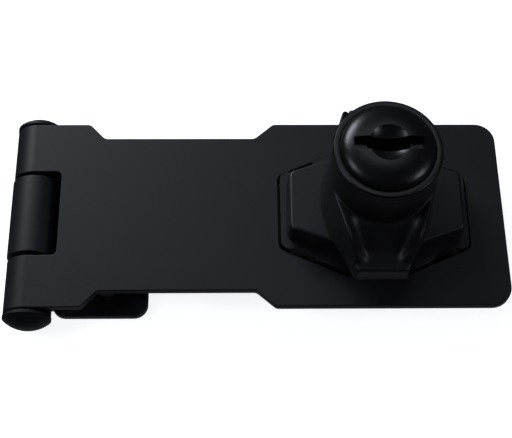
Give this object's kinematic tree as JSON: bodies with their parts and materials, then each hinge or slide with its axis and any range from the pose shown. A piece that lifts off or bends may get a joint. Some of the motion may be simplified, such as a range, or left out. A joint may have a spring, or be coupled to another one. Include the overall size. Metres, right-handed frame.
{
  "type": "hasp and staple",
  "caption": "Keyed surface hasp: a pinned steel strap closes over a cast base and a winged, key-locked knob turns across it.",
  "frame": {"origin": "the knob's axis in the mounting plane, which is also the centre of the base's four screw holes", "axes": "+Z out of the mounting surface along the knob's axis, +X along the strap from its hinge to its free end"},
  "size_m": [0.1145, 0.0528, 0.0438],
  "materials": {
    "black_strap": "satin black coat on stamped steel",
    "black_casting": "satin black coat on a zinc casting",
    "black_cylinder": "semi-gloss black plating",
    "brass": "turned",
    "steel": "zinc plated",
    "spring_wire": "drawn wire"
  },
  "bodies": {
    "root": {"lock_base": "black_casting", "stop_pin": "steel", "hinge_leaf": "black_strap", "hinge_pin": "black_strap"},
    "strap": {"strap": "black_strap"},
    "knob": {"knob_body": "black_casting", "cylinder_housing": "black_cylinder", "housing_snap_ring": "steel", "spindle": "steel", "spindle_washer": "steel", "retaining_clip": "steel", "bolt_spring": "spring_wire"},
    "plug": {"plug": "black_cylinder", "plug_face": "black_cylinder", "bolt_cam": "steel", "cam_screw": "steel", "wafer_1": "brass", "wafer_2": "brass", "wafer_3": "brass", "wafer_4": "brass", "wafer_5": "brass", "wafer_spring_1": "spring_wire", "wafer_spring_2": "spring_wire", "wafer_spring_3": "spring_wire", "wafer_spring_4": "spring_wire", "wafer_spring_5": "spring_wire"},
    "bolt": {"locking_bolt": "steel"}
  },
  "joints": [
    {"name": "hasp_hinge", "type": "hinge", "parent": "root", "child": "strap", "pos_m": [-0.0785, 0, 0.0056], "axis": [0, -1, 0], "range_deg": [0, 179]},
    {"name": "knob_turn", "type": "hinge", "parent": "root", "child": "knob", "pos_m": [0, 0, 0.0178], "axis": [0, 0, 1], "range_deg": [0, 90]},
    {"name": "key_turn", "type": "hinge", "parent": "knob", "child": "plug", "pos_m": [0, 0, 0.0406], "axis": [0, 0, 1], "range_deg": [0, 90]},
    {"name": "bolt_slide", "type": "slide", "parent": "knob", "child": "bolt", "axis": [0, 0, -1], "range_m": [0, 0.0022], "deforming": ["bolt_spring"]}
  ],
  "couplings": [
    {"joint": "bolt_slide", "follows": "key_turn", "m_per_rad": 0.0014}
  ]
}
